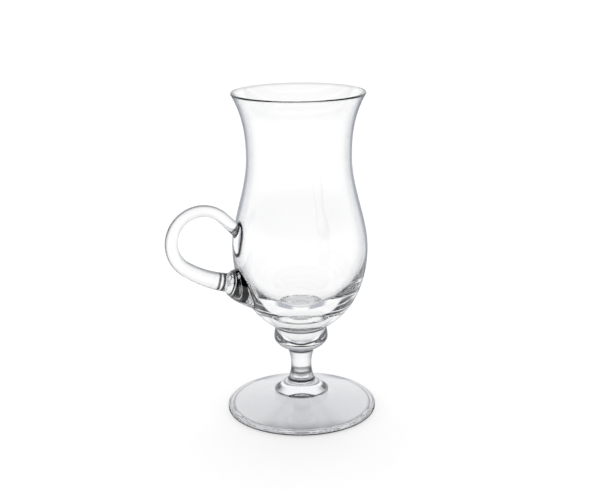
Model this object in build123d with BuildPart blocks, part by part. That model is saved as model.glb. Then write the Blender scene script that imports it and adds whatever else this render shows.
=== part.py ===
from build123d import *
import os
from math import cos, radians, sin

# Stemmed glass mug, in millimetres. It stands on z = 0, its axis is Z, and its handle points along -X.

# Foot: a round disc with a low cone, the hub, in its middle
foot_radius = 38.3
foot_edge_height = 3.2
foot_slope_height = 7.0  # rise of the disc's upper face from its edge to the hub
hub_base_radius = 13.6
hub_cone_height = 5.8
hub_blend_radius = 6.0  # the hollow round where the cone runs out into the disc
foot_edge_rounding = 0.45  # shares of the edge's height
foot_base_rounding = 0.35
foot_ring_width = 2.6  # the flat ring that the glass stands on, inside its rounded edge
foot_hollow_height = 6.6  # the underside's rise inside that ring, up to the middle

# Stem: a short waisted column
stem_length = 16.6
stem_foot_radius = 6.7
stem_waist_radius = 5.2
stem_top_radius = 7.0

# Collar: a round bead between the stem and the bowl
collar_under_height = 6.4  # from the stem to the widest level
collar_over_height = 6.0  # from the widest level to the bowl
collar_radius = 13.75
collar_top_radius = 12.7

# Bowl: heights are stacked from the collar up, radii are on the outside
belly_rise = 41.5
neck_rise = 46.5
lip_rise = 32.0
belly_radius = 34.1
waist_radius = 26.2
rim_radius = 33.6
seat_slope = 28.7  # degrees above level, where the bowl leaves the collar
lip_flare = 30.5  # degrees off upright, at the rim
wall_thickness = 1.6
rim_thickness = 1.4
rim_rounding = 0.45  # share of the rim's thickness
base_thickness = 9.0

# Fullness of the bowl's curves: how long each holds its direction, as a share of its rise or radius
belly_hold_below = 0.25
belly_hold_above = 0.32
waist_hold_below = 0.35
waist_hold_above = 0.24
lip_hold = 0.45
inner_belly_hold = 0.49
inner_floor_hold = 0.71

# Handle: a tapered rod that leaves the bowl below its belly and loops back above it
pad_drop = 14.3  # level of the pad's ring below the belly
pad_standoff = 3.5  # the ring's reach beyond the belly
pad_slope = 15.0  # degrees above level
pad_neck_length = 4.4  # from the ring to the rod
pad_neck_hollow = 0.7  # share of the neck that stays close to the rod's width
pad_ring_radius = 5.9
pad_ring_step = 0.7
pad_flare_radius = 9.6
pad_flare_length = 4.0
pad_root_radius = 12.2
pad_root_depth = 20.0
loop_rise = 8.4  # level of the loop's middle above the belly
loop_radius = 15.5
loop_gap = 17.3  # from the belly's side out to the loop's middle
loop_start_angle = -54.0  # degrees, on the loop's circle
loop_end_angle = 136.0
rod_root_radius = 4.6
rod_thin_radius = 2.85
rod_tip_radius = 3.3
rod_thin_share = 0.68  # share of the rod's length at which it is thinnest
rod_sections = 15

# Tab: a flat drop of glass drawn down the bowl from the handle's upper end
tab_rise = 16.4  # along the bowl, above the belly
tab_drop = 1.2  # along the bowl, below the belly
tab_width = 10.5
tab_thickness = 2.3
tab_tip_roundness = 1.8
tab_top_length = 7.0  # from its thickest place to its upper end
tab_hold = 0.5  # share of each half that stays close to full thickness

# Levels
stem_level = foot_edge_height + foot_slope_height + hub_cone_height
collar_level = stem_level + stem_length
collar_wide_level = collar_level + collar_under_height
bowl_level = collar_wide_level + collar_over_height
belly_level = bowl_level + belly_rise
waist_level = belly_level + neck_rise
rim_level = waist_level + lip_rise

os.makedirs("parts", exist_ok=True)


def heading(degrees):
    return Vector(cos(radians(degrees)), sin(radians(degrees)))


# Foot: its underside is hollow, and leaves the standing ring parallel to the upper face
foot_ring_radius = foot_radius - foot_base_rounding * foot_edge_height - foot_ring_width
foot_slope = foot_slope_height / (foot_radius - hub_base_radius)
with BuildPart() as foot:
    with BuildSketch(Plane.XZ):
        with BuildLine():
            upper_face = FilletPolyline(
                (foot_ring_radius, 0),
                (foot_radius, 0),
                (foot_radius, foot_edge_height),
                (hub_base_radius, foot_edge_height + foot_slope_height),
                (stem_foot_radius, stem_level),
                radius=[
                    foot_base_rounding * foot_edge_height,
                    foot_edge_rounding * foot_edge_height,
                    hub_blend_radius,
                ],
            )
            Polyline(upper_face @ 1, (0, stem_level), (0, foot_hollow_height))
            Bezier(
                (0, foot_hollow_height),
                (foot_ring_radius - foot_hollow_height / foot_slope, foot_hollow_height),
                (foot_ring_radius, 0),
            )
        make_face()
    revolve(axis=Axis.Z)
foot.part.label = "foot"
export_step(foot.part, "parts/foot.step")

# Stem
with BuildPart() as stem:
    with BuildSketch(Plane.XZ):
        with BuildLine():
            ThreePointArc(
                (stem_foot_radius, stem_level),
                (stem_waist_radius, stem_level + stem_length / 2),
                (stem_top_radius, collar_level),
            )
            Polyline(
                (stem_top_radius, collar_level),
                (0, collar_level),
                (0, stem_level),
                (stem_foot_radius, stem_level),
            )
        make_face()
    revolve(axis=Axis.Z)
stem.part.label = "stem"
export_step(stem.part, "parts/stem.step")

# Collar
with BuildPart() as collar:
    with BuildSketch(Plane.XZ):
        with BuildLine():
            Bezier(
                (stem_top_radius, collar_level),
                (collar_radius, collar_level + collar_under_height / 2),
                (collar_radius, collar_wide_level),
            )
            TangentArc(
                (collar_radius, collar_wide_level),
                (collar_top_radius, bowl_level),
                tangent=(0, 1),
            )
            Polyline(
                (collar_top_radius, bowl_level),
                (0, bowl_level),
                (0, collar_level),
                (stem_top_radius, collar_level),
            )
        make_face()
    revolve(axis=Axis.Z)
collar.part.label = "collar"
export_step(collar.part, "parts/collar.step")

# Outside of the bowl, as radius and level: it swells to the belly, draws in to the waist, flares to the rim
seat_point = Vector(collar_top_radius, bowl_level)
belly_point = Vector(belly_radius, belly_level)
waist_point = Vector(waist_radius, waist_level)
rim_point = Vector(rim_radius, rim_level)
lip_lean = heading(90 - lip_flare)
with BuildLine() as bowl_outside:
    swell = Bezier(
        seat_point,
        seat_point + heading(seat_slope) * (belly_radius - collar_top_radius),
        belly_point - Vector(0, belly_hold_below * belly_rise),
        belly_point,
    )
    neck = Bezier(
        belly_point,
        belly_point + Vector(0, belly_hold_above * neck_rise),
        waist_point - Vector(0, waist_hold_below * neck_rise),
        waist_point,
    )
    lip = Bezier(
        waist_point,
        waist_point + Vector(0, waist_hold_above * lip_rise),
        rim_point - lip_lean * (lip_hold * lip_rise),
        rim_point,
    )

# Bowl
inner_floor = Vector(0, bowl_level + base_thickness)
inner_belly = belly_point - Vector(wall_thickness, 0)
inner_waist = waist_point - Vector(wall_thickness, 0)
inner_rim = rim_point - Vector(rim_thickness, 0)
with BuildPart() as bowl:
    with BuildSketch(Plane.XZ) as bowl_half:
        with BuildLine():
            add(bowl_outside.line)
            Line(rim_point, inner_rim)
            Bezier(
                inner_rim,
                inner_rim - lip_lean * (lip_hold * lip_rise),
                inner_waist + Vector(0, waist_hold_above * lip_rise),
                inner_waist,
            )
            Bezier(
                inner_waist,
                inner_waist - Vector(0, waist_hold_below * neck_rise),
                inner_belly + Vector(0, belly_hold_above * neck_rise),
                inner_belly,
            )
            Bezier(
                inner_belly,
                inner_belly - Vector(0, inner_belly_hold * (belly_rise - base_thickness)),
                inner_floor + Vector(inner_floor_hold * inner_belly.X, 0),
                inner_floor,
            )
            Polyline(inner_floor, (0, bowl_level), seat_point)
        make_face()
        rim_corners = bowl_half.vertices().group_by(Axis.Y)[-1]
        fillet(rim_corners, rim_rounding * rim_thickness * cos(radians(lip_flare)))
    revolve(axis=Axis.Z)
bowl.part.label = "bowl"
export_step(bowl.part, "parts/bowl.step")

# The bowl's outside as a full body, which the handle's pieces are shaped against
with BuildPart() as bowl_body:
    with BuildSketch(Plane.XZ):
        with BuildLine():
            add(bowl_outside.line)
            Polyline(rim_point, (0, rim_level), (0, bowl_level), seat_point)
        make_face()
    revolve(axis=Axis.Z)

# The handle lies in this plane: its x is the reach from the glass's axis, its y is the level
handle_plane = Plane(origin=(0, 0, 0), x_dir=(-1, 0, 0), z_dir=(0, 1, 0))
ring_point = Vector(belly_radius + pad_standoff, belly_level - pad_drop)
pad_direction = heading(pad_slope)

# Lower pad, turned about the handle's lower run: a hollow neck, a tooled ring, and a flare onto the bowl
pad_plane = Plane(
    origin=handle_plane.from_local_coords(ring_point),
    x_dir=(-pad_direction.X, 0, pad_direction.Y),
    z_dir=(0, 1, 0),
)
pad_lip_radius = pad_ring_radius + pad_ring_step
with BuildPart() as handle_pad:
    with BuildSketch(pad_plane):
        with BuildLine():
            Bezier(
                (pad_neck_length, rod_root_radius),
                ((1 - pad_neck_hollow) * pad_neck_length, rod_root_radius),
                (0, pad_ring_radius),
            )
            TangentArc((0, pad_ring_radius), (-pad_ring_step, pad_lip_radius), tangent=(0, 1))
            Bezier(
                (-pad_ring_step, pad_lip_radius),
                (-pad_flare_length, pad_flare_radius),
                (-pad_root_depth, pad_root_radius),
            )
            Polyline(
                (-pad_root_depth, pad_root_radius),
                (-pad_root_depth, 0),
                (pad_neck_length, 0),
                (pad_neck_length, rod_root_radius),
            )
        make_face()
    revolve(axis=Axis(pad_plane.origin, pad_plane.x_dir))
    add(bowl_body.part, mode=Mode.SUBTRACT)
handle_pad.part.label = "handle_pad"
export_step(handle_pad.part, "parts/handle_pad.step")

# Upper tab: a drop turned about a line between two points of the bowl's face, then widened
tab_tip = swell.position_at(swell.length - tab_drop, PositionMode.LENGTH)
tab_top = neck.position_at(tab_rise, PositionMode.LENGTH)
tab_line = (tab_top - tab_tip).normalized()
tab_length = (tab_top - tab_tip).length
tab_thick_place = tab_length - tab_top_length
tab_plane = Plane(
    origin=handle_plane.from_local_coords(tab_tip),
    x_dir=(-tab_line.X, 0, tab_line.Y),
    z_dir=(0, 1, 0),
)
with BuildPart() as handle_tab:
    with BuildSketch(tab_plane):
        with BuildLine():
            Bezier(
                (0, 0),
                (0, tab_tip_roundness),
                (tab_hold * tab_thick_place, tab_thickness),
                (tab_thick_place, tab_thickness),
            )
            Bezier(
                (tab_thick_place, tab_thickness),
                (tab_thick_place + tab_hold * tab_top_length, tab_thickness),
                (tab_length, tab_hold * tab_thickness),
                (tab_length, 0),
            )
            Line((tab_length, 0), (0, 0))
        make_face()
    revolve(axis=Axis(tab_plane.origin, tab_plane.x_dir))
    scale(by=(1, tab_width / (2 * tab_thickness), 1))
    add(bowl_body.part, mode=Mode.SUBTRACT)
handle_tab.part.label = "handle_tab"
export_step(handle_tab.part, "parts/handle_tab.step")

# Route of the rod's middle: out from the pad, round the loop, then straight in to well under the bowl's face
rod_start = ring_point + pad_direction * pad_neck_length
loop_middle = Vector(belly_radius + loop_gap, belly_level + loop_rise)
loop_start = loop_middle + heading(loop_start_angle) * loop_radius
loop_start_direction = heading(loop_start_angle + 90)
lower_run = (loop_start - rod_start).length
loop_end = loop_middle + heading(loop_end_angle) * loop_radius
end_direction = heading(loop_end_angle + 90)
end_reach = belly_radius - 2 * rod_tip_radius
end_run = (end_reach - loop_end.X) / end_direction.X
with BuildLine() as rod_route:
    Bezier(
        rod_start,
        rod_start + pad_direction * (lower_run / 3),
        loop_start - loop_start_direction * (lower_run / 3),
        loop_start,
    )
    CenterArc(loop_middle, loop_radius, loop_start_angle, loop_end_angle - loop_start_angle)
    Line(loop_end, loop_end + end_direction * end_run)
rod_wire = handle_plane * rod_route.wires()[0]


def rod_radius(share):
    if share < rod_thin_share:
        end_radius, end_share = rod_root_radius, 0
    else:
        end_radius, end_share = rod_tip_radius, 1
    swelling = ((share - rod_thin_share) / (end_share - rod_thin_share)) ** 2
    return rod_thin_radius + (end_radius - rod_thin_radius) * swelling


# Rod: round sections square to the route, thinning towards the top of the loop
with BuildPart() as handle_rod:
    for section in range(rod_sections):
        share = section / (rod_sections - 1)
        with BuildSketch(Plane(origin=rod_wire @ share, x_dir=(0, 1, 0), z_dir=rod_wire % share)):
            Circle(rod_radius(share))
    loft()
    add(bowl_body.part, mode=Mode.SUBTRACT)
    add(handle_tab.part, mode=Mode.SUBTRACT)
handle_rod.part.label = "handle_rod"
export_step(handle_rod.part, "parts/handle_rod.step")
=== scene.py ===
import bpy
import numpy as np
from mathutils import Matrix, Vector


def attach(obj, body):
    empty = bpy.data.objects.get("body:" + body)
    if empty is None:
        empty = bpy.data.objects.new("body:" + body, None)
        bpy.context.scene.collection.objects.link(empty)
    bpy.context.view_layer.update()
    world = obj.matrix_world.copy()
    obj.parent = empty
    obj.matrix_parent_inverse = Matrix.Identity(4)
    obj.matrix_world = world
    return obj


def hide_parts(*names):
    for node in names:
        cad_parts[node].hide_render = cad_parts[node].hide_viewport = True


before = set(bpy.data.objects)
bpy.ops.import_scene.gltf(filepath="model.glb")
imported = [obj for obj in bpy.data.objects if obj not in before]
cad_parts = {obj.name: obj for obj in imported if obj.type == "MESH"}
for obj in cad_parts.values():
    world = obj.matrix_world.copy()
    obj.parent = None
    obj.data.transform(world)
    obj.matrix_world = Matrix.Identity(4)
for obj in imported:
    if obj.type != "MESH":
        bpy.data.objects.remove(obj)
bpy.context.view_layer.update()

mm = 0.001  # shapes below are in millimetres, meshes in metres
samePoint = 1e-6  # points closer than this are taken as one
farAway = 50.0  # stands for the height over a face, past the ends of that face
sharpAngle = 16  # degrees: creases sharper than this stay sharp in the shading
groove = 0.3  # how far each piece turns in at the welds of the stem, and of the rod and the pad
grooveRows = 10  # points along that turn
weldShadeWidth = 1.1  # reach of the painted shade line at the foot's weld and at the rod's lower end
handleShadeWidth = 0.7  # the same at the handle's other welds
shadePower = 8  # how steeply a painted shade line ends
print("frame loaded:", ", ".join(sorted(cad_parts)))


# Runs: lists of (reach, level) points that outline a piece

# a Bezier curve: each pass mixes neighbouring control points in the ratio t, until one point is left
def bezierRun(control, count):
    t = np.linspace(0.0, 1.0, count)[:, None, None]
    points = np.repeat(np.asarray(control, float)[None], count, 0)
    while points.shape[1] > 1:
        points = points[:, :-1] * (1 - t) + points[:, 1:] * t
    return points[:, 0]


# a circle's arc: its middle plus the radius times the cosine and sine of an angle that runs evenly
def arcRun(middle, radius, fromAngle, toAngle, count):
    angle = np.linspace(fromAngle, toAngle, count)
    return np.asarray(middle) + radius * np.column_stack([np.cos(angle), np.sin(angle)])


# the arc from one point to another on a circle about a middle, the short way round
def shortArc(middle, start, end, count):
    begin = np.arctan2(*(start - middle)[::-1])
    turn = np.arctan2(*(end - middle)[::-1]) - begin
    turn = (turn + np.pi) % (2 * np.pi) - np.pi
    return arcRun(middle, np.hypot(*(start - middle)), begin, begin + turn, count)


# a rounded corner: the arc of a given radius that touches both legs
def cornerRun(before, corner, after, radius, count):
    before, corner, after = (np.asarray(p, float) for p in (before, corner, after))
    legIn = (before - corner) / np.hypot(*(before - corner))
    legOut = (after - corner) / np.hypot(*(after - corner))
    half = np.arccos(legIn @ legOut) / 2
    middle = corner + (legIn + legOut) / np.hypot(*(legIn + legOut)) * radius / np.sin(half)
    touch = radius / np.tan(half)
    return shortArc(middle, corner + legIn * touch, corner + legOut * touch, count)


# the circle through three points: its middle is as far from the first as from the other two
def throughRun(first, second, third, count):
    a, b, c = (np.asarray(p, float) for p in (first, second, third))
    sides = 2 * np.array([b - a, c - a])
    middle = np.linalg.solve(sides, [b @ b - a @ a, c @ c - a @ a])
    return shortArc(middle, a, c, count)


# length along a run, at each of its points
def lengthAlong(run):
    return np.r_[0.0, np.cumsum(np.linalg.norm(np.diff(run, axis=0), axis=1))]


# a run read at given lengths along it
def readRun(run, places):
    along = lengthAlong(run)
    return np.stack([np.interp(places, along, run[:, k]) for k in range(run.shape[1])], -1)


# a run with its points spread evenly, about a step apart
def evenRun(run, step):
    run = np.asarray(run, float)
    total = lengthAlong(run)[-1]
    return readRun(run, np.linspace(0.0, total, max(2, int(round(total / step)) + 1)))


# runs end to end, without the doubled points where they meet
def joinRuns(*runs):
    whole = np.vstack(runs)
    return whole[np.r_[True, np.linalg.norm(np.diff(whole, axis=0), axis=1) > samePoint]]


# a run whose last corner is softened: it turns in at the corner, so that two welded pieces leave a groove
def grooveEnd(run, size):
    corner = run[-1]
    total = lengthAlong(run)[-1]
    start = readRun(run, total - size)
    kept = run[lengthAlong(run) < total - size]
    return joinRuns(kept, bezierRun([start, corner, corner - (size, 0.0)], grooveRows))


def grooveStart(run, size):
    return grooveEnd(run[::-1], size)[::-1]


# the way that lies so many degrees up from level
def heading(degrees):
    return np.array([np.cos(np.radians(degrees)), np.sin(np.radians(degrees))])


# even angles once round
def roundAngles(columns):
    return np.arange(columns) * 2 * np.pi / columns


# Skins: grids of points turned into closed meshes

# a run turned about the upright axis: x = reach times cosine, y = reach times sine, z = level
def turnedGrid(run, angles):
    reach, level = run[:, :1], run[:, 1:]
    return np.stack([reach * np.cos(angles), reach * np.sin(angles), level + 0 * angles], -1)


# four-sided faces between neighbouring rows and columns, with the columns joined round
def ringFaces(rows, cols):
    i, j = np.meshgrid(np.arange(rows - 1), np.arange(cols), indexing="ij")
    k = (j + 1) % cols
    return np.stack([i * cols + j, i * cols + k, (i + 1) * cols + k, (i + 1) * cols + j], -1)


# a closed skin: rings of points with a point at each end. sealed is the height of each grid point over a
# weld's outline, below zero inside it; faces inside take the weld's own slot, and faces that the outline
# crosses from corner to corner are parted there
def closedSkin(rings, firstEnd, lastEnd, sealed, firstSealed, lastSealed):
    rows, cols = rings.shape[:2]
    points = np.vstack([rings.reshape(-1, 3), firstEnd, lastEnd])
    quads = ringFaces(rows, cols).reshape(-1, 4)
    height = sealed.reshape(-1)[quads]
    parted = (height.min(1) < 0) & (height.max(1) > 0)
    slots = (height.sum(1) < 0).astype(int)
    acrossA = parted & (height[:, 0] == 0) & (height[:, 2] == 0)
    acrossB = parted & (height[:, 1] == 0) & (height[:, 3] == 0) & ~acrossA
    whole = ~(acrossA | acrossB)
    a, b = quads[acrossA], quads[acrossB]
    ring = np.arange(cols)
    nextRing = (ring + 1) % cols
    top = (rows - 1) * cols
    ends = rows * cols
    fanFirst = np.column_stack([np.full(cols, ends), nextRing, ring])
    fanLast = np.column_stack([top + ring, top + nextRing, np.full(cols, ends + 1)])
    triangles = np.vstack([
        a[:, [0, 1, 2]], a[:, [0, 2, 3]], b[:, [0, 1, 3]], b[:, [1, 2, 3]], fanFirst, fanLast,
    ])
    triangleSlots = np.concatenate([
        height[acrossA, 1] < 0, height[acrossA, 3] < 0, height[acrossB, 0] < 0, height[acrossB, 2] < 0,
        np.full(cols, firstSealed), np.full(cols, lastSealed),
    ]).astype(int)
    return points, quads[whole].tolist() + triangles.tolist(), np.r_[slots[whole], triangleSlots]


# grid points that lie within half a step of a weld's outline are moved along the grid onto it
def snapToOutline(height, u, v):
    halfStep = 0.5
    nearest = np.full(height.shape, halfStep)
    moveU, moveV = np.zeros_like(u), np.zeros_like(v)
    for axis in (0, 1):
        for way in (1, -1):
            other = np.roll(height, -way, axis)
            crosses = height * other < 0
            if axis == 0:
                crosses[-1 if way == 1 else 0] = False
            share = np.where(crosses, height / np.where(crosses, height - other, 1), 1.0)
            closer = share < nearest
            nearest = np.where(closer, share, nearest)
            moveU = np.where(closer, share * (np.roll(u, -way, axis) - u), moveU)
            moveV = np.where(closer, share * (np.roll(v, -way, axis) - v), moveV)
    return np.where(nearest < halfStep, 0.0, height), u + moveU, v + moveV


# first place along each column at which a height falls below zero, as a number of rows
def firstBelow(height):
    row = np.argmax(height < 0, axis=0)
    col = np.arange(height.shape[1])
    before, after = height[row - 1, col], height[row, col]
    return row - 1 + before / (before - after)


# a painted dark mark that is full along a line and ends steeply: e to the power of minus the distance over
# the width, which is itself raised to the power that sets how steeply it ends
def fade(distance, width):
    return np.exp(-(distance / width) ** shadePower)


# marks: how dark each grid point is painted. It is painted shade: along the lines where pieces are melted
# together, where the crease reads dark, and in other painted dark lines; the side marks do the same only
# where the glass is seen from the side. A skin's two end points have no mark
def makePiece(name, skin, finish, node, paintedShade, paintedSideShade=None):
    points, faces, slots = skin
    mesh = bpy.data.meshes.new(name)
    mesh.from_pydata(points * mm, [], faces)
    mesh.materials.append(finish)
    mesh.materials.append(weld)
    mesh.polygons.foreach_set("material_index", slots)
    mesh.polygons.foreach_set("use_smooth", np.ones(len(faces), bool))
    mesh.set_sharp_from_angle(angle=np.radians(sharpAngle))
    for markName, marks in (("paintedShade", paintedShade), ("paintedSideShade", paintedSideShade)):
        if marks is not None:
            layer = mesh.attributes.new(markName, "FLOAT", "POINT")
            layer.data.foreach_set("value", np.r_[np.clip(marks, 0.0, 1.0).reshape(-1), 0.0, 0.0])
    mesh.update()
    piece = bpy.data.objects.new(name, mesh)
    bpy.context.scene.collection.objects.link(piece)
    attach(piece, "root")
    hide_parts(node)
    print("piece", name, "with", len(mesh.polygons), "faces")


# a turned piece: a run carried round the axis. lines: how wide the painted shade line is at its low and its
# high weld, or 0 where it has no weld; mark and sideMark: other painted dark marks along the run
def turnedPiece(name, run, columns, finish, node, lines, mark=0.0, sideMark=0.0):
    along = lengthAlong(run)
    paintedShade = mark + 0 * along
    for width, distance in zip(lines, (along, along[-1] - along)):
        if width:
            paintedShade = paintedShade + fade(distance, width)
    offAxis = run[:, 0] > 0
    rings = turnedGrid(run[offAxis], roundAngles(columns))
    skin = closedSkin(
        rings, (0.0, 0.0, run[0, 1]), (0.0, 0.0, run[-1, 1]),
        np.ones(rings.shape[:2]), bool(lines[0]), bool(lines[1]),
    )
    paintedShade = np.repeat(paintedShade[offAxis], columns)
    paintedSideShade = np.repeat((sideMark + 0 * along)[offAxis], columns)
    makePiece(name, skin, finish, node, paintedShade, paintedSideShade)


# Finishes

def addNode(tree, kind, **values):
    node = tree.nodes.new(kind)
    for key, value in values.items():
        setattr(node, key, value)
    return node


# an empty node tree and its output
def freshTree(owner, outputKind):
    owner.use_nodes = True
    owner.node_tree.nodes.clear()
    return owner.node_tree, addNode(owner.node_tree, outputKind)


# a socket takes another node's output, or a fixed value
def feed(tree, socket, value):
    if isinstance(value, bpy.types.NodeSocket):
        tree.links.new(value, socket)
    else:
        socket.default_value = value


def mathOf(tree, operation, *values, clamp=False):
    node = addNode(tree, "ShaderNodeMath", operation=operation, use_clamp=clamp)
    for socket, value in zip(node.inputs, values):
        feed(tree, socket, value)
    return node.outputs[0]


def productOf(tree, product, *others):
    for other in others:
        product = mathOf(tree, "MULTIPLY", product, other)
    return product


# nothing at the first edge, full at the second, smooth between
def softStep(tree, value, edges):
    node = addNode(tree, "ShaderNodeMapRange", interpolation_type="SMOOTHSTEP")
    feed(tree, node.inputs["Value"], value)
    node.inputs["From Min"].default_value, node.inputs["From Max"].default_value = edges
    return node.outputs[0]


# how far a vector reaches along a way
def reachAlong(tree, vector, way):
    node = addNode(tree, "ShaderNodeVectorMath", operation="DOT_PRODUCT")
    feed(tree, node.inputs[0], vector)
    feed(tree, node.inputs[1], way)
    return node.outputs["Value"]


# full where a ray's count of bounces of one kind is one or more, and so over a half
def hasBounced(tree, count):
    return mathOf(tree, "GREATER_THAN", count, 0.5)


def mixTones(tree, share, first, second):
    node = addNode(tree, "ShaderNodeMix", data_type="RGBA")
    for name, value in (("Factor", share), ("A", first), ("B", second)):
        feed(tree, node.inputs[name], value)
    return node.outputs["Result"]


def mixLooks(tree, share, first, second):
    node = addNode(tree, "ShaderNodeMixShader")
    for socket, value in zip(node.inputs, (share, first, second)):
        feed(tree, socket, value)
    return node.outputs[0]


def glowOf(tree, tone):
    node = addNode(tree, "ShaderNodeEmission")
    node.inputs["Color"].default_value = (*tone, 1.0)
    return node.outputs[0]


# clear glass: it darkens where it is seen along its surface, a little for the longer way through the glass
# and mostly as painted shade, and painted shade darkens it along its marks. It waves gently as hand-worked
# glass does, and lets most of a lamp's light through to what is behind it
def glassFinish(name, look):
    material = bpy.data.materials.new(name)
    tree, out = freshTree(material, "ShaderNodeOutputMaterial")
    glass = addNode(tree, "ShaderNodeBsdfPrincipled")
    glass.inputs["Roughness"].default_value = look["roughness"]
    glass.inputs["IOR"].default_value = look["ior"]
    glass.inputs["Transmission Weight"].default_value = 1.0
    facing = addNode(tree, "ShaderNodeLayerWeight").outputs["Facing"]
    lean = facing
    if "dimWay" in look:
        # painted shade: a face darkens more, the more it is turned to the dim way
        normal = addNode(tree, "ShaderNodeNewGeometry").outputs["Normal"]
        gain = addNode(tree, "ShaderNodeMapRange")
        feed(tree, gain.inputs["Value"], reachAlong(tree, normal, look["dimWay"]))
        gain.inputs["From Min"].default_value, gain.inputs["From Max"].default_value = look["dimSpan"]
        gain.inputs["To Min"].default_value, gain.inputs["To Max"].default_value = look["dimGain"]
        lean = productOf(tree, facing, gain.outputs[0])
    tint = addNode(tree, "ShaderNodeValToRGB")
    tree.links.new(lean, tint.inputs["Fac"])
    stops = tint.color_ramp.elements
    while len(stops) < len(look["tints"]):
        stops.new(1.0)
    for stop, (place, tone) in zip(stops, look["tints"]):
        stop.position = place
        stop.color = (*np.array(look["hue"]) ** (1 - tone) * tone * look["body"], 1.0)
    # painted shade: the dark marks the mesh carries, and its side marks where a face is seen from the side,
    # turn the colour towards the painted shade tone
    mark = addNode(tree, "ShaderNodeAttribute", attribute_name="paintedShade").outputs["Fac"]
    if "sideEdges" in look:
        paintedSideShade = addNode(tree, "ShaderNodeAttribute", attribute_name="paintedSideShade").outputs["Fac"]
        sideMark = productOf(tree, paintedSideShade, softStep(tree, facing, look["sideEdges"]))
        mark = mathOf(tree, "MAXIMUM", mark, sideMark)
    colour = mixTones(tree, mark, tint.outputs["Color"], (*look["paintedShadeTone"], 1.0))
    tree.links.new(colour, glass.inputs["Base Color"])
    waves = addNode(tree, "ShaderNodeTexNoise")
    waves.inputs["Scale"].default_value = look["waveScale"]
    waves.inputs["Detail"].default_value = look["waveDetail"]
    tree.links.new(addNode(tree, "ShaderNodeTexCoord").outputs["Object"], waves.inputs["Vector"])
    bump = addNode(tree, "ShaderNodeBump")
    bump.inputs["Strength"].default_value = 1.0
    bump.inputs["Distance"].default_value = look["waveHeight"]
    tree.links.new(waves.outputs["Fac"], bump.inputs["Height"])
    tree.links.new(bump.outputs["Normal"], glass.inputs["Normal"])
    clear = addNode(tree, "ShaderNodeBsdfTransparent")
    clear.inputs["Color"].default_value = (*look["shade"], 1.0)
    shadowRay = addNode(tree, "ShaderNodeLightPath").outputs["Is Shadow Ray"]
    tree.links.new(mixLooks(tree, shadowRay, glass.outputs[0], clear.outputs[0]), out.inputs["Surface"])
    return material


# where two pieces are melted together there is no surface to see
def weldFinish():
    material = bpy.data.materials.new("weld")
    tree, out = freshTree(material, "ShaderNodeOutputMaterial")
    tree.links.new(addNode(tree, "ShaderNodeBsdfTransparent").outputs[0], out.inputs["Surface"])
    return material


# tints: how light the glass is, from seen square on (0) to seen along its surface (1); the darkening is
# mostly painted shade, a little of it the longer way through the glass. Dark ones lean to the hue. body: the
# colour of all of it. shade: what a lamp's light keeps on its way through. sideEdges: how far a face is
# turned aside where its painted side shade starts to show, and where it shows in full. dimGain: how soon a
# face's painted shade darkens at the two ends of dimSpan, which is its turn to the dim way. The dark marks
# take the painted shade tone
commonLook = dict(
    tints=[(0.0, 1.0), (0.4, 0.97), (0.6, 0.88), (0.7, 0.76), (0.8, 0.5), (0.9, 0.25), (1.0, 0.06)],
    body=(1.0, 1.0, 1.0), hue=(0.85, 0.89, 1.0), paintedShadeTone=(0.002, 0.002, 0.003), shade=(0.93, 0.93, 0.93),
    ior=1.5, roughness=0.0, waveScale=90.0, waveDetail=1.0, waveHeight=0.00002,
)
bowlLook = dict(
    commonLook, shade=(0.95, 0.95, 0.95), waveScale=45.0,
    dimWay=(0.0, 0.0, 1.0), dimSpan=(-0.85, -0.2), dimGain=(0.7, 1.0),
)
stemLook = dict(
    commonLook, tints=[(0.0, 1.0), (0.13, 0.96), (0.3, 0.82), (0.47, 0.5), (0.7, 0.12), (1.0, 0.04)],
    waveScale=80.0, sideEdges=(0.15, 0.45),
)
footLook = dict(
    commonLook, tints=[(0.0, 1.0), (0.5, 0.99), (0.8, 0.95), (0.92, 0.4), (1.0, 0.1)],
    body=(0.965, 0.973, 1.0), shade=(1.0, 1.0, 1.0), waveScale=45.0, sideEdges=(0.25, 0.55),
)
rodLook = dict(
    commonLook, tints=[(0.0, 1.0), (0.11, 0.95), (0.21, 0.88), (0.36, 0.66), (0.6, 0.2), (1.0, 0.05)],
    dimWay=(-0.47, 0.18, 0.86), dimSpan=(-0.7, 0.7), dimGain=(0.35, 1.6),
)
padLook = dict(rodLook, tints=[(0.0, 1.0), (0.1, 0.96), (0.2, 0.89), (0.35, 0.7), (0.6, 0.32), (1.0, 0.1)])
bowlGlass = glassFinish("bowlGlass", bowlLook)
stemGlass = glassFinish("stemGlass", stemLook)
footGlass = glassFinish("footGlass", footLook)
rodGlass = glassFinish("rodGlass", rodLook)
padGlass = glassFinish("padGlass", padLook)
tabGlass = glassFinish("tabGlass", commonLook)
weld = weldFinish()
print("finishes made")

# Foot: a disc with a rounded edge, hollow underneath, and a low cone in its middle that the stem is drawn
# from. lines: place, width and depth of painted dark lines: a painted contact shadow low on its edge, and on
# its standing ring painted lines that stand for its edges seen through the glass
foot = dict(
    radius=38.3, edgeHeight=3.2, slopeHeight=7.0, hubRadius=13.6, hubHeight=5.8,
    baseRound=1.12, edgeRound=1.44, hubBlend=6.0, neckRadius=6.7, ringWidth=2.6, hollow=6.6,
    lines=[((38.1, 0.7), 0.5, 1.0), ((34.8, 0.0), 0.3, 0.9), ((36.6, 0.0), 0.3, 0.9)],
    hubLineWidth=0.45, hubLineDepth=0.9, hubSideRise=2.0, hubSideWidth=1.9,
    hollowRows=40, roundRows=(16, 20, 30), ringStep=0.15, edgeStep=0.3, slopeStep=0.8, hubStep=0.4,
    columns=480,
)
footSlopeLevel = foot["edgeHeight"] + foot["slopeHeight"]
stemLevel = footSlopeLevel + foot["hubHeight"]
footRing = foot["radius"] - foot["baseRound"] - foot["ringWidth"]
footSlope = foot["slopeHeight"] / (foot["radius"] - foot["hubRadius"])
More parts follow.
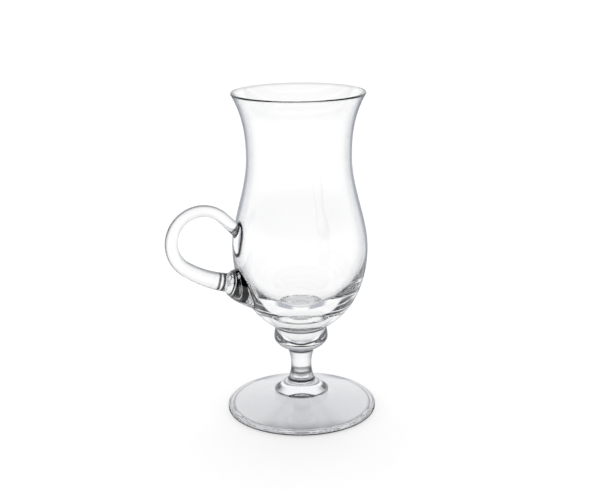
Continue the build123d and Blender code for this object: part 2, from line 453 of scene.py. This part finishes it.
footCorners = [
    (footRing, 0.0), (foot["radius"], 0.0), (foot["radius"], foot["edgeHeight"]),
    (foot["hubRadius"], footSlopeLevel), (foot["neckRadius"], stemLevel),
]
footHollow = bezierRun([
    (0.0, foot["hollow"]), (footRing - foot["hollow"] / footSlope, foot["hollow"]), footCorners[0],
], foot["hollowRows"])
baseRound, edgeRound, hubBend = (
    cornerRun(*footCorners[k:k + 3], foot[size], foot["roundRows"][k])
    for k, size in enumerate(("baseRound", "edgeRound", "hubBlend"))
)
footRun = grooveEnd(joinRuns(
    footHollow, evenRun([footCorners[0], baseRound[0]], foot["ringStep"]), baseRound,
    evenRun([baseRound[-1], edgeRound[0]], foot["edgeStep"]), edgeRound,
    evenRun([edgeRound[-1], hubBend[0]], foot["slopeStep"]), hubBend,
    evenRun([hubBend[-1], footCorners[4]], foot["hubStep"]),
), groove)
# a painted dark line also runs round the bottom of the cone, and painted shade darkens the cone's flank where
# it is seen from the side
hubFoot = hubBend[len(hubBend) // 2]
fromHub = np.hypot(*(footRun - hubFoot).T)
footMark = foot["hubLineDepth"] * fade(fromHub, foot["hubLineWidth"])
for linePlace, lineWidth, lineDepth in foot["lines"]:
    footMark += lineDepth * fade(np.hypot(*(footRun - linePlace).T), lineWidth)
footAlong = lengthAlong(footRun)
hubSide = fade(footAlong - footAlong[fromHub.argmin()] - foot["hubSideRise"], foot["hubSideWidth"])
turnedPiece(
    "footGlassDisc", footRun, foot["columns"], footGlass, "foot", (0, weldShadeWidth),
    footMark, hubSide,
)

# Stem: a column whose side is one hollow arc. Low on it a painted dark band shows, where it starts to widen,
# and above the band patches of painted shade, where it is seen from the side
stem = dict(
    length=16.6, waistRadius=5.2, topRadius=7.0, lines=(1.1, 1.4), rows=60, columns=120,
    bandRise=3.8, bandWidth=1.1, bandDepth=0.75, sideRise=5.6, sideWidth=1.2,
)
collarLevel = stemLevel + stem["length"]
stemRun = throughRun(
    (foot["neckRadius"], stemLevel), (stem["waistRadius"], stemLevel + stem["length"] / 2),
    (stem["topRadius"], collarLevel), stem["rows"],
)
stemRun = grooveEnd(grooveStart(stemRun, groove), groove)
stemRise = stemRun[:, 1] - stemLevel
turnedPiece(
    "stemColumn", stemRun, stem["columns"], stemGlass, "stem", stem["lines"],
    stem["bandDepth"] * fade(stemRise - stem["bandRise"], stem["bandWidth"]),
    fade(stemRise - stem["sideRise"], stem["sideWidth"]),
)

# Collar: a bead that swells from the stem, and rounds in again to the bowl
collar = dict(
    under=6.4, over=6.0, radius=13.75, topRadius=12.7, lines=(0.1, 0.95),
    underRows=50, overRows=24, columns=160,
)
collarWide = collarLevel + collar["under"]
bowlLevel = collarWide + collar["over"]
overIn = collar["radius"] - collar["topRadius"]
overRadius = (overIn ** 2 + collar["over"] ** 2) / (2 * overIn)  # the arc starts upright at the widest level
collarRun = joinRuns(
    bezierRun([
        (stem["topRadius"], collarLevel), (collar["radius"], collarLevel + collar["under"] / 2),
        (collar["radius"], collarWide),
    ], collar["underRows"]),
    shortArc(
        np.array([collar["radius"] - overRadius, collarWide]), np.array([collar["radius"], collarWide]),
        np.array([collar["topRadius"], bowlLevel]), collar["overRows"],
    ),
)
collarRun = grooveEnd(grooveStart(collarRun, groove), groove)
turnedPiece("collarBead", collarRun, collar["columns"], stemGlass, "collar", collar["lines"])

# Bowl: its outside swells to the belly, draws in to the waist and flares to the rim. Its points stand closer
# together between the weld levels and within the weld's half angle, where the handle meets it, and the lip's
# run is cut short of the rim's rounded corners
bowl = dict(
    bellyRise=41.5, neckRise=46.5, lipRise=32.0, bellyRadius=34.1, waistRadius=26.2, rimRadius=33.6,
    seatSlope=28.7, lipFlare=30.5, wall=1.6, rimWall=1.4, rimRound=0.6, rimCut=1.6, base=9.0,
    bellyBelow=0.25, bellyAbove=0.32, waistBelow=0.35, waistAbove=0.24, lipHold=0.45,
    innerBelly=0.49, innerFloor=0.71, rimLine=0.4, weldLevels=(58.0, 106.0), weldHalfAngle=0.46,
    curveRows=900, baseRows=30, baseSpread=1.6, weldRows=100, lipRows=66, insideRows=150, rimRows=14,
    weldColumns=75, restColumns=140,
)
bellyLevel = bowlLevel + bowl["bellyRise"]
waistLevel = bellyLevel + bowl["neckRise"]
rimLevel = waistLevel + bowl["lipRise"]


def neckRun(bellyRadius, waistRadius):
    return bezierRun([
        (bellyRadius, bellyLevel), (bellyRadius, bellyLevel + bowl["bellyAbove"] * bowl["neckRise"]),
        (waistRadius, waistLevel - bowl["waistBelow"] * bowl["neckRise"]), (waistRadius, waistLevel),
    ], bowl["curveRows"])


def lipRun(waistRadius, rimRadius):
    lean = heading(90 - bowl["lipFlare"]) * bowl["lipHold"] * bowl["lipRise"]
    return bezierRun([
        (waistRadius, waistLevel), (waistRadius, waistLevel + bowl["waistAbove"] * bowl["lipRise"]),
        (rimRadius - lean[0], rimLevel - lean[1]), (rimRadius, rimLevel),
    ], bowl["curveRows"])


seat = np.array([collar["topRadius"], bowlLevel])
swellRun = bezierRun([
    seat, seat + heading(bowl["seatSlope"]) * (bowl["bellyRadius"] - collar["topRadius"]),
    (bowl["bellyRadius"], bellyLevel - bowl["bellyBelow"] * bowl["bellyRise"]),
    (bowl["bellyRadius"], bellyLevel),
], bowl["curveRows"])
neckOutside = neckRun(bowl["bellyRadius"], bowl["waistRadius"])
outsideRun = joinRuns(swellRun, neckOutside, lipRun(bowl["waistRadius"], bowl["rimRadius"]))
innerDrop = bowl["innerBelly"] * (bowl["bellyRise"] - bowl["base"])
innerBelly = bowl["bellyRadius"] - bowl["wall"]
innerWaist = bowl["waistRadius"] - bowl["wall"]
floorLevel = bowlLevel + bowl["base"]
insideRun = joinRuns(
    bezierRun([
        (0.0, floorLevel), (bowl["innerFloor"] * innerBelly, floorLevel),
        (innerBelly, bellyLevel - innerDrop), (innerBelly, bellyLevel),
    ], bowl["curveRows"]),
    neckRun(innerBelly, innerWaist), lipRun(innerWaist, bowl["rimRadius"] - bowl["rimWall"]),
)[::-1]


# reach of the bowl's outside at a level
def bowlReach(level):
    return np.interp(level, outsideRun[:, 1], outsideRun[:, 0])


# height over the bowl's outside: distance from its axis less its reach at that level
def overBowl(p):
    return np.hypot(p[..., 0], p[..., 1]) - bowlReach(p[..., 2])


# The handle lies in the XZ plane, pointing along -X: reach is -x, level is z

# Pad: a hollow neck, a tooled ring and a flare, turned about the handle's lower run
pad = dict(
    drop=14.3, standoff=3.5, slope=15.0, neck=4.4, neckHollow=0.7, ring=5.9, ringStep=0.7,
    flare=9.6, flareLength=4.0, root=12.2, rootDepth=20.0, ringLine=0.4, flareLine=0.5, flareLineRow=9,
    neckRows=28, ringRows=12, curveRows=700, flareRows=60, flareSpread=1.2, weldRows=14, columns=128,
)
rod = dict(
    loopRise=8.4, loopRadius=15.47, loopGap=17.3, startAngle=-54.0, endAngle=136.0,
    root=4.6, thin=2.85, tip=3.3, thinShare=0.68, rows=260, columns=72,
    lowerRows=400, loopRows=900, routeStep=0.1, trialFrom=0.7, trialRows=400, turnRows=9,
)
tab = dict(
    rise=16.4, drop=1.2, width=10.5, thickness=2.3, tipRound=1.8, topLength=7.0, hold=0.5,
    rows=84, columns=56, weldColumns=24, curveRows=500, trialRows=600,
)
ringPoint = np.array([bowl["bellyRadius"] + pad["standoff"], bellyLevel - pad["drop"]])
padWay = heading(pad["slope"])
padLip = pad["ring"] + pad["ringStep"]
padNeckRun = bezierRun([
    (pad["neck"], rod["root"]), ((1 - pad["neckHollow"]) * pad["neck"], rod["root"]), (0.0, pad["ring"]),
], pad["neckRows"])
padRingRun = shortArc(
    np.array([-pad["ringStep"], pad["ring"]]), np.array([0.0, pad["ring"]]),
    np.array([-pad["ringStep"], padLip]), pad["ringRows"],
)
padFlareRun = bezierRun([
    (-pad["ringStep"], padLip), (-pad["flareLength"], pad["flare"]), (-pad["rootDepth"], pad["root"]),
], pad["curveRows"])
padRun = joinRuns(padNeckRun, padRingRun, padFlareRun)


# the pad's neck turns in at its end, as the stem's pieces do, but towards the pad's own axis
def grooveInward(run, size):
    return grooveStart(run[:, ::-1], size)[:, ::-1]


# a plane point (reach, level) and a sideways distance, as x, y, z
def handlePoint(reach, side, level):
    return np.stack([-reach, side, level], -1)


# a point of the pad: out along its axis, then away from the axis by the radius, turned by the angle
def padPoint(out, radius, angle):
    reach = ringPoint[0] + out * padWay[0] - radius * np.cos(angle) * padWay[1]
    level = ringPoint[1] + out * padWay[1] + radius * np.cos(angle) * padWay[0]
    return handlePoint(reach, radius * np.sin(angle), level)


# height over the pad's face: distance from its axis less its radius there
def overPad(p):
    reach, level = -p[..., 0] - ringPoint[0], p[..., 2] - ringPoint[1]
    out = reach * padWay[0] + level * padWay[1]
    away = np.hypot(level * padWay[0] - reach * padWay[1], p[..., 1])
    radius = np.interp(out, padRun[::-1, 0], padRun[::-1, 1])
    beyond = (out > pad["neck"]) | (out < -pad["rootDepth"])
    return np.where(beyond, farAway, away - radius)


# the flare stops where each of its columns meets the bowl
padAngles = roundAngles(pad["columns"])
flareEnds = firstBelow(overBowl(padPoint(padFlareRun[:, :1], padFlareRun[:, 1:], padAngles)))
flareAt = np.linspace(0.0, 1.0, pad["flareRows"])[1:, None] ** pad["flareSpread"] * flareEnds
flareOut, flareRadius = (np.interp(flareAt, np.arange(len(padFlareRun)), padFlareRun[:, k]) for k in (0, 1))
padTop = joinRuns(grooveInward(padNeckRun, groove), padRingRun)
padFace = np.concatenate([
    padPoint(padTop[:, :1], padTop[:, 1:], padAngles), padPoint(flareOut, flareRadius, padAngles),
])
# the welded face lies on the bowl: angle and level shrink evenly from the pad's outline to its middle
outline = padFace[-1]
outlineAngle = np.arctan2(outline[:, 1], -outline[:, 0])
middleLevel = outline[:, 2].mean()
inward = np.linspace(1.0, 0.0, pad["weldRows"])[1:-1, None]
weldLevel = middleLevel + inward * (outline[:, 2] - middleLevel)
weldReach = bowlReach(weldLevel)
padWeld = handlePoint(
    weldReach * np.cos(inward * outlineAngle), weldReach * np.sin(inward * outlineAngle), weldLevel,
)
padRings = np.concatenate([padFace, padWeld])
padHeight = np.ones(padRings.shape[:2])
padHeight[len(padFace) - 1] = 0.0
padHeight[len(padFace):] = -1.0
padSkin = closedSkin(
    padRings[:, ::-1], padPoint(pad["neck"], 0.0, 0.0), handlePoint(bowlReach(middleLevel), 0.0, middleLevel),
    padHeight, True, True,
)
# painted shade lines: at the neck's end, where the ring starts, along the bowl, and a little below the ring
padAlong = lengthAlong(padTop)[:, None]
padShade = np.zeros(padRings.shape[:2])
padShade[:len(padTop)] = fade(padAlong, handleShadeWidth)
padShade[:len(padTop)] += fade(padAlong - padAlong[-len(padRingRun)], pad["ringLine"])
for lineRow, lineWidth in ((-1, handleShadeWidth), (len(padTop) + pad["flareLineRow"], pad["flareLine"])):
    padShade[:len(padFace)] += fade(np.linalg.norm(padFace - padFace[lineRow], axis=-1), lineWidth)
makePiece("handlePad", padSkin, padGlass, "handle_pad", padShade[:, ::-1])

# Tab: a drop turned about a line between two points of the bowl's face, then widened
swellLength = lengthAlong(swellRun)[-1]
tabTip = readRun(swellRun, swellLength - tab["drop"])
tabTop = readRun(neckOutside, tab["rise"])
tabLength = np.hypot(*(tabTop - tabTip))
tabWay = (tabTop - tabTip) / tabLength
tabThick = tabLength - tab["topLength"]
tabWiden = tab["width"] / (2 * tab["thickness"])
tabRun = joinRuns(
    bezierRun([
        (0.0, 0.0), (0.0, tab["tipRound"]), (tab["hold"] * tabThick, tab["thickness"]),
        (tabThick, tab["thickness"]),
    ], tab["curveRows"]),
    bezierRun([
        (tabThick, tab["thickness"]), (tabThick + tab["hold"] * tab["topLength"], tab["thickness"]),
        (tabLength, tab["hold"] * tab["thickness"]), (tabLength, 0.0),
    ], tab["curveRows"]),
)


# radius of the drop at a place along its line
def tabRadius(along):
    return np.interp(along, tabRun[:, 0], tabRun[:, 1])


# a point of the tab: along its line, then away from it by the drop's radius, widened sideways
def tabPoint(along, angle):
    out = tabRadius(along) * np.cos(angle)
    reach = tabTip[0] + along * tabWay[0] + out * tabWay[1]
    level = tabTip[1] + along * tabWay[1] - out * tabWay[0]
    return handlePoint(reach, tabWiden * tabRadius(along) * np.sin(angle), level)


# height over the drop's face: distance from its line less its radius there, with the widening taken back
def overTab(p):
    reach, level = -p[..., 0] - tabTip[0], p[..., 2] - tabTip[1]
    along = reach * tabWay[0] + level * tabWay[1]
    away = np.hypot(reach * tabWay[1] - level * tabWay[0], p[..., 1] / tabWiden)
    beyond = np.maximum(np.maximum(-along, along - tabLength), 0.0)
    return np.hypot(away, beyond) - tabRadius(along)


# Rod: round sections square to a route that leaves the pad, loops round and comes straight in to the bowl
rodStart = ringPoint + padWay * pad["neck"]
loopMiddle = np.array([bowl["bellyRadius"] + rod["loopGap"], bellyLevel + rod["loopRise"]])
loopStart = loopMiddle + heading(rod["startAngle"]) * rod["loopRadius"]
lowerRun = np.hypot(*(loopStart - rodStart))
loopEnd = loopMiddle + heading(rod["endAngle"]) * rod["loopRadius"]
endWay = heading(rod["endAngle"] + 90)
endReach = bowl["bellyRadius"] - 2 * rod["tip"]
routeRun = evenRun(joinRuns(
    bezierRun([
        rodStart, rodStart + padWay * lowerRun / 3,
        loopStart - heading(rod["startAngle"] + 90) * lowerRun / 3, loopStart,
    ], rod["lowerRows"]),
    arcRun(
        loopMiddle, rod["loopRadius"], np.radians(rod["startAngle"]), np.radians(rod["endAngle"]),
        rod["loopRows"],
    ),
    np.array([loopEnd, loopEnd + endWay * (endReach - loopEnd[0]) / endWay[0]]),
), rod["routeStep"])
routeWay = np.gradient(routeRun, axis=0)
routeWay /= np.linalg.norm(routeWay, axis=1)[:, None]
routeShare = np.linspace(0.0, 1.0, len(routeRun))
routeLength = lengthAlong(routeRun)[-1]


# the rod is thinnest at one share of its length, and swells with the square of the distance from there
def rodRadius(share):
    low = share < rod["thinShare"]
    swelling = ((share - rod["thinShare"]) / np.where(low, -rod["thinShare"], 1 - rod["thinShare"])) ** 2
    return rod["thin"] + (np.where(low, rod["root"], rod["tip"]) - rod["thin"]) * swelling


# a point of the rod: on its route, then away by its radius, in the plane by the cosine and sideways by the
# sine; its first end turns in by a quarter of a circle
def rodPoint(share, angle):
    reach, level = (np.interp(share, routeShare, routeRun[:, k]) for k in (0, 1))
    wayReach, wayLevel = (np.interp(share, routeShare, routeWay[:, k]) for k in (0, 1))
    turnIn = np.maximum(1 - share * routeLength / groove, 0.0)
    radius = rodRadius(share) - groove * (1 - np.sqrt(1 - turnIn ** 2))
    out = radius * np.cos(angle)
    return handlePoint(reach - out * wayLevel, radius * np.sin(angle) + 0 * reach, level + out * wayReach)


# height over the rod's face: the least, along its route, of the distance less the radius
def overRod(p):
    flat = p.reshape(-1, 3)
    gapReach = -flat[:, :1] - routeRun[:, 0]
    gapLevel = flat[:, 2:] - routeRun[:, 1]
    gap = np.sqrt(gapReach ** 2 + gapLevel ** 2 + flat[:, 1:2] ** 2) - rodRadius(routeShare)
    return gap.min(1).reshape(p.shape[:-1])


# the rod stops where each of its columns meets the bowl or the tab
rodAngles = roundAngles(rod["columns"])
trialShare = np.linspace(rod["trialFrom"], 1.0, rod["trialRows"])[:, None]
trial = rodPoint(trialShare, rodAngles)
endRows = firstBelow(np.minimum(overBowl(trial), overTab(trial)))
endShare = np.interp(endRows, np.arange(rod["trialRows"]), trialShare[:, 0])
rodRows = np.r_[
    (1 - np.cos(np.linspace(0.0, np.pi / 2, rod["turnRows"])))[:-1] * groove / routeLength,
    np.linspace(groove / routeLength, 1.0, rod["rows"]),
]
rodFace = rodPoint(rodRows[:, None] * endShare, rodAngles)
rodSkin = closedSkin(
    rodFace, handlePoint(rodStart[0], 0.0, rodStart[1]), rodFace[-1].mean(0),
    np.ones(rodFace.shape[:2]), True, True,
)
# painted shade lines where the rod leaves the pad and where it meets the bowl and the tab
rodShade = fade(rodRows[:, None] * endShare * routeLength, weldShadeWidth)
rodShade = rodShade + fade(np.linalg.norm(rodFace - rodFace[-1], axis=-1), handleShadeWidth)
makePiece("handleRod", rodSkin, rodGlass, "handle_rod", rodShade)

# the tab's outer face runs between the two lines where it meets the bowl
tabAlong = tabLength * (1 - np.cos(np.linspace(0.0, np.pi, tab["rows"] + 2)[1:-1])) / 2
trialAngle = np.linspace(0.0, np.pi, tab["trialRows"])[:, None]
edgeRows = firstBelow(overBowl(tabPoint(tabAlong, trialAngle)))
edgeAngle = np.interp(edgeRows, np.arange(tab["trialRows"]), trialAngle[:, 0])
tabU, tabV = np.meshgrid(tabAlong, np.linspace(-1.0, 1.0, tab["columns"]), indexing="ij")


# a point of the outer face: along the tab, and across it from one edge (-1) to the other (1)
def tabFaceAt(along, side):
    return tabPoint(along, side * np.interp(along, tabAlong, edgeAngle))


tabHeight, tabU, tabV = snapToOutline(overRod(tabFaceAt(tabU, tabV)), tabU, tabV)
tabFace = tabFaceAt(tabU, tabV)
tabEdge = tabFaceAt(tabAlong, 1.0)
tabEdgeAngle = np.arctan2(tabEdge[:, 1], -tabEdge[:, 0])[:, None]
tabBack = np.linspace(1.0, -1.0, tab["weldColumns"] + 2)[1:-1]
backReach = bowlReach(tabEdge[:, 2:])
tabWeld = handlePoint(
    backReach * np.cos(tabBack * tabEdgeAngle), backReach * np.sin(tabBack * tabEdgeAngle),
    tabEdge[:, 2:] + 0 * tabBack,
)
tabRings = np.concatenate([tabFace, tabWeld], 1)
tabHeights = np.concatenate([tabHeight, np.full(tabWeld.shape[:2], -1.0)], 1)
tabSkin = closedSkin(
    tabRings[:, ::-1], handlePoint(tabTip[0], 0.0, tabTip[1]), handlePoint(tabTop[0], 0.0, tabTop[1]),
    tabHeights[:, ::-1], False, False,
)
# painted shade lines where the tab meets the rod and along its edges on the bowl
tabShade = np.zeros(tabRings.shape[:2])
tabShade[:, :tab["columns"]] = fade(tabHeight, handleShadeWidth)
for edge in (0, -1):
    tabShade[:, :tab["columns"]] += fade(np.linalg.norm(tabFace - tabFace[:, edge, None], axis=-1), handleShadeWidth)
makePiece("handleTab", tabSkin, tabGlass, "handle_tab", tabShade[:, ::-1])

# the bowl's rows and columns
weldStart, weldEnd = np.pi - bowl["weldHalfAngle"], np.pi + bowl["weldHalfAngle"]
bowlAngles = np.r_[
    np.linspace(weldStart, weldEnd, bowl["weldColumns"]),
    np.linspace(weldEnd, weldStart + 2 * np.pi, bowl["restColumns"])[1:-1],
]
lipCut = lengthAlong(outsideRun)[-1] - bowl["rimCut"]
weldLow, weldHigh = np.interp(bowl["weldLevels"], outsideRun[:, 1], lengthAlong(outsideRun))
baseShare = np.linspace(0.0, 1.0, bowl["baseRows"])[:-1] ** bowl["baseSpread"]
outsidePlaces = np.r_[
    groove + (weldLow - groove) * baseShare, np.linspace(weldLow, weldHigh, bowl["weldRows"])[:-1],
    np.linspace(weldHigh, lipCut, bowl["lipRows"]),
]
placeU, placeV = np.meshgrid(outsidePlaces, bowlAngles, indexing="ij")


# a point of the bowl's outside: so far along its run, turned by the angle
def bowlFaceAt(place, angle):
    run = readRun(outsideRun, place)
    return np.stack([run[..., 0] * np.cos(angle), run[..., 0] * np.sin(angle), run[..., 1]], -1)


firstFace = bowlFaceAt(placeU, placeV)
welds = np.minimum(np.minimum(overPad(firstFace), overTab(firstFace)), overRod(firstFace))
welds, placeU, placeV = snapToOutline(welds, placeU, placeV)
outside = bowlFaceAt(placeU, placeV)
insidePlaces = np.linspace(bowl["rimCut"], lengthAlong(insideRun)[-1], bowl["insideRows"])
insideFace = readRun(insideRun, insidePlaces)
rimOut, rimIn = (bowl["rimRadius"], rimLevel), (bowl["rimRadius"] - bowl["rimWall"], rimLevel)
rimRun = joinRuns(
    cornerRun(readRun(outsideRun, lipCut), rimOut, rimIn, bowl["rimRound"], bowl["rimRows"]),
    cornerRun(rimOut, rimIn, insideFace[0], bowl["rimRound"], bowl["rimRows"]), insideFace[:-1],
)
seatRun = grooveStart(outsideRun, groove)[:grooveRows - 1]
bowlRings = np.concatenate([turnedGrid(seatRun, bowlAngles), outside, turnedGrid(rimRun, bowlAngles)])
seatRows, rimRows = np.ones((len(seatRun), len(bowlAngles))), np.ones((len(rimRun), len(bowlAngles)))
bowlHeights = np.concatenate([seatRows, welds, rimRows])
bowlSkin = closedSkin(
    bowlRings, (0.0, 0.0, bowlLevel), (0.0, 0.0, floorLevel), bowlHeights, True, False,
)
# a painted dark line along the top of the rim, and painted shade lines round the handle's welds
rimMark = bowl["rimLine"] * fade(rimRun[:, 1:] - rimLevel, bowl["rimRound"])
bowlShade = np.concatenate([0 * seatRows, fade(welds, handleShadeWidth), rimMark * rimRows])
makePiece("bowlBody", bowlSkin, bowlGlass, "bowl", bowlShade)

# Stage: a pale floor that takes the glass's shadow, with a painted shadow under the foot and a painted dark
# ring round it, a white surround and a soft sun. The room is dim on one side, where strips of light run
# level, high up.
# A pair of numbers goes from where a thing starts to show to where it shows in full
stage = dict(
    floorHalf=6.0, floorDrop=0.0004, floorColour=(0.8, 0.8, 0.8), floorGlow=0.24,
    cardAcross=(0.93, -0.37, 0.0), cardAlong=(0.37, 0.93, 0.0), cardNear=0.05, cardTone=(0.47, 0.49, 0.55),
    cardInner=(0.15, 0.3), cardOuter=(0.9, 0.6), fallEdges=(-0.019, -0.046), underEdges=(0.048, 0.038),
    ringInner=(0.0365, 0.0385), ringOuter=(0.052, 0.043), surround=(0.45, 0.45, 0.45),
    dim=(0.014, 0.017, 0.024), dimSide=(-0.36, -0.89, 0.28), dimSpread=(-0.45, -0.35), dimLevels=(0.0, 0.2),
    stripScale=1.7, stripBend=2.0, stripEdges=(0.8, 0.97), stripLevels=(0.22, 0.3),
    sun=2.0, sunTurn=(-28.0, 10.0, 0.0), sunSpread=50.0, bounces=32,
)


# pale and matt, and a little bright of itself where it is seen, so that it comes out white
def floorFinish(look):
    material = bpy.data.materials.new("floorPaint")
    tree, out = freshTree(material, "ShaderNodeOutputMaterial")
    path = addNode(tree, "ShaderNodeLightPath").outputs
    matt = addNode(tree, "ShaderNodeBsdfDiffuse")
    matt.inputs["Color"].default_value = (*look["floorColour"], 1.0)
    through = mathOf(tree, "MAXIMUM", path["Is Glossy Ray"], path["Is Transmission Ray"])
    seen = mathOf(tree, "MAXIMUM", path["Is Camera Ray"], through)
    glow = addNode(tree, "ShaderNodeEmission")
    feed(tree, glow.inputs["Strength"], productOf(tree, seen, look["floorGlow"]))
    pale = addNode(tree, "ShaderNodeAddShader")
    tree.links.new(matt.outputs[0], pale.inputs[0])
    tree.links.new(glow.outputs[0], pale.inputs[1])
    # painted reflections: grey cards are painted on the floor behind the glass, to either side and out of the
    # picture,
    # and only reflections see them: they lie between two lines of even slope, so many steps across for each
    # step along
    place = addNode(tree, "ShaderNodeTexCoord").outputs["Object"]
    along = reachAlong(tree, place, look["cardAlong"])
    across = mathOf(tree, "ABSOLUTE", reachAlong(tree, place, look["cardAcross"]))
    slope = mathOf(tree, "DIVIDE", across, along)
    mirrored = hasBounced(tree, path["Glossy Depth"])
    cards = productOf(
        tree, softStep(tree, slope, look["cardInner"]), softStep(tree, slope, look["cardOuter"]),
        mathOf(tree, "GREATER_THAN", along, look["cardNear"]), mirrored,
    )
    paint = mixLooks(tree, cards, pale.outputs[0], glowOf(tree, look["cardTone"]))
    # painted shadow: under the foot, seen straight through it, the floor is painted darker towards the dim
    # side
    away = addNode(tree, "ShaderNodeVectorMath", operation="LENGTH")
    tree.links.new(place, away.inputs[0])
    distance = away.outputs["Value"]
    paintedShadow = glowOf(tree, look["dim"])
    shadow = productOf(
        tree, softStep(tree, along, look["fallEdges"]), softStep(tree, distance, look["underEdges"]),
        mathOf(tree, "SUBTRACT", path["Is Transmission Ray"], mirrored, clamp=True),
    )
    paint = mixLooks(tree, shadow, paint, paintedShadow)
    # painted contact shadow: reflections off the outside of the glass show a dark ring painted close round
    # the foot, which outlines its edge
    entered = hasBounced(tree, path["Transmission Depth"])
    ring = productOf(
        tree, softStep(tree, distance, look["ringInner"]), softStep(tree, distance, look["ringOuter"]),
        mathOf(tree, "SUBTRACT", mirrored, entered, clamp=True),
    )
    tree.links.new(mixLooks(tree, ring, paint, paintedShadow), out.inputs["Surface"])
    return material


# straight through the glass the surround is white; a reflection shows the dim side of the room, and rays that
# come out of the glass show the strips there, as streaks. Matt surfaces are lit evenly
def studioWorld(look):
    world = bpy.data.worlds.new("studio")
    tree, out = freshTree(world, "ShaderNodeOutputWorld")
    path = addNode(tree, "ShaderNodeLightPath").outputs
    way = addNode(tree, "ShaderNodeTexCoord").outputs["Generated"]
    apart = addNode(tree, "ShaderNodeSeparateXYZ")
    tree.links.new(way, apart.inputs[0])
    level = apart.outputs["Z"]
    dimness = productOf(
        tree, softStep(tree, reachAlong(tree, way, look["dimSide"]), look["dimSpread"]),
        softStep(tree, level, look["dimLevels"]), hasBounced(tree, path["Glossy Depth"]),
    )
    waves = addNode(tree, "ShaderNodeTexWave", bands_direction="Z")
    waves.inputs["Scale"].default_value = look["stripScale"]
    waves.inputs["Distortion"].default_value = look["stripBend"]
    tree.links.new(way, waves.inputs["Vector"])
    strips = productOf(
        tree, softStep(tree, waves.outputs["Fac"], look["stripEdges"]),
        hasBounced(tree, path["Transmission Depth"]), softStep(tree, level, look["stripLevels"]),
    )
    dimness = mathOf(tree, "SUBTRACT", dimness, strips, clamp=True)
    white = (1.0, 1.0, 1.0, 1.0)
    room = mixTones(tree, dimness, white, (*look["dim"], 1.0))
    room = mixTones(tree, hasBounced(tree, path["Diffuse Depth"]), room, (*look["surround"], 1.0))
    room = mixTones(tree, path["Is Camera Ray"], room, white)
    back = addNode(tree, "ShaderNodeBackground")
    tree.links.new(room, back.inputs["Color"])
    tree.links.new(back.outputs[0], out.inputs["Surface"])
    return world


floorMesh = bpy.data.meshes.new("floor")
half, low = stage["floorHalf"], -stage["floorDrop"]
floorMesh.from_pydata(
    [(-half, -half, low), (half, -half, low), (half, half, low), (-half, half, low)], [], [(0, 1, 2, 3)],
)
floorMesh.materials.append(floorFinish(stage))
floor = bpy.data.objects.new("floor", floorMesh)
bpy.context.scene.collection.objects.link(floor)
bpy.context.scene.world = studioWorld(stage)
sunLamp = bpy.data.lights.new("softSun", "SUN")
sunLamp.energy = stage["sun"]
sunLamp.angle = np.radians(stage["sunSpread"])
sun = bpy.data.objects.new("softSun", sunLamp)
bpy.context.scene.collection.objects.link(sun)
sun.visible_glossy = sun.visible_transmission = False
sun.rotation_euler = [np.radians(angle) for angle in stage["sunTurn"]]
print("stage set")

# Camera: where the photograph was taken from
camera = dict(place=(-0.2089, -0.5172, 0.2433), aim=(0.0, 0.0, 0.0848), lens=68.85, sensor=36.0, roll=-0.0115)
lensData = bpy.data.cameras.new("camera")
lensData.lens, lensData.sensor_width = camera["lens"], camera["sensor"]
lensData.sensor_fit = "HORIZONTAL"
eye = bpy.data.objects.new("camera", lensData)
bpy.context.scene.collection.objects.link(eye)
lookWay = (Vector(camera["aim"]) - Vector(camera["place"])).normalized()
rightWay = lookWay.cross(Vector((0, 0, 1))).normalized()
upWay = rightWay.cross(lookWay)
rollCos, rollSin = np.cos(camera["roll"]), np.sin(camera["roll"])
axes = (rightWay * rollCos + upWay * rollSin, upWay * rollCos - rightWay * rollSin, -lookWay)
eye.matrix_world = Matrix.Translation(camera["place"]) @ Matrix(axes).transposed().to_4x4()
bpy.context.scene.camera = eye
bpy.context.scene.view_settings.view_transform = "Standard"
# glass throws no bright spots on the floor, and light is followed through many bounces inside it
paths = bpy.context.scene.cycles
paths.caustics_refractive = paths.caustics_reflective = False
paths.max_bounces = paths.transparent_max_bounces = stage["bounces"]
paths.glossy_bounces = paths.transmission_bounces = stage["bounces"]

bpy.context.view_layer.update()
